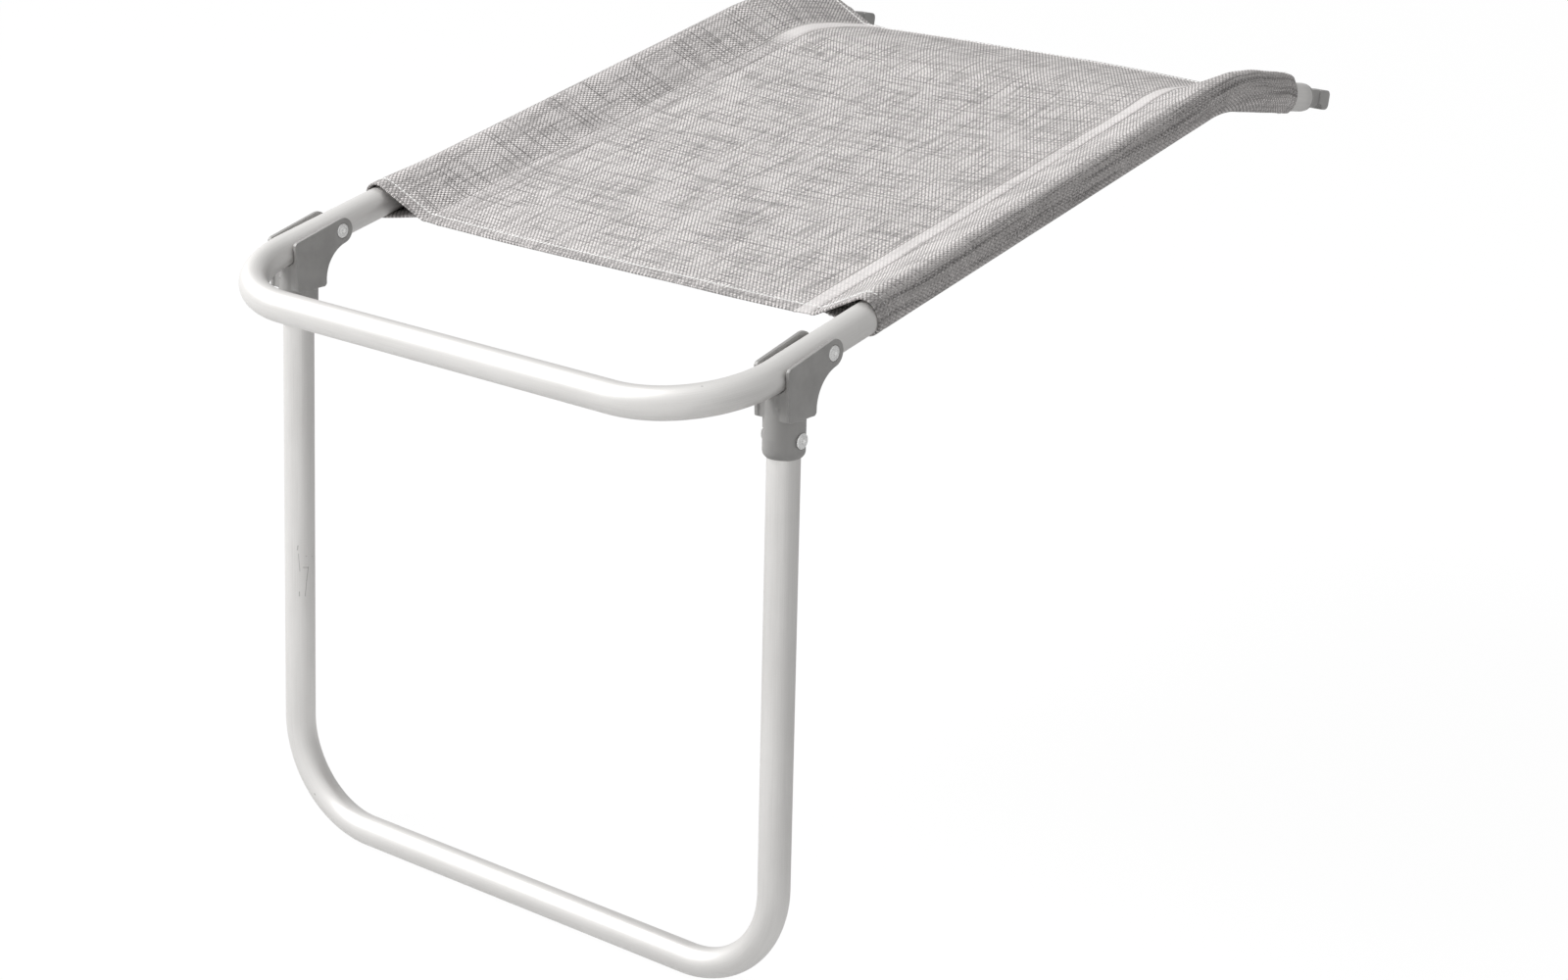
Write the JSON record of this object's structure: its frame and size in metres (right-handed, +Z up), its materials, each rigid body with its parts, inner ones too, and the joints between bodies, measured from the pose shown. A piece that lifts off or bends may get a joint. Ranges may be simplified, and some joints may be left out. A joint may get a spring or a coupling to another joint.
{
  "type": "clip-on leg rest",
  "caption": "Clip-on leg rest for a folding chair: bent aluminium tube frame with a mesh sling, hook plugs at the rear and a folding U-shaped leg.",
  "frame": {"origin": "midway between the notches of the two hook plugs, where the chair holds the leg rest", "axes": "+X to the right seen from the free end, +Y towards the chair, +Z up, with the leg opened and the leg rest in use"},
  "size_m": [0.4288, 0.6976, 0.4831],
  "materials": {
    "tube": "satin anodised tube",
    "moulding": "satin mid-grey moulding",
    "rivet": "bright set rivet",
    "mesh_cloth": "woven coated mesh, light warm grey",
    "thread": "white sewing thread"
  },
  "bodies": {
    "seat_frame": {"top_frame_tube": "tube", "sling": "mesh_cloth", "hem_thread_front": "thread", "hem_thread_rear": "thread", "hook_plug_left": "moulding", "pivot_rivet_left": "rivet", "seam_thread_outer_left": "thread", "seam_thread_inner_left": "thread", "hook_plug_right": "moulding", "pivot_rivet_right": "rivet", "seam_thread_outer_right": "thread", "seam_thread_inner_right": "thread"},
    "leg_frame": {"leg_frame_tube": "tube", "leg_bracket_left": "moulding", "socket_rivet_left": "rivet", "leg_bracket_right": "moulding", "socket_rivet_right": "rivet"}
  },
  "joints": [
    {"name": "leg_fold", "type": "hinge", "parent": "seat_frame", "child": "leg_frame", "pos_m": [0, -0.57156, -0.03737], "axis": [1, 0, 0], "range_deg": [0, 101]}
  ]
}
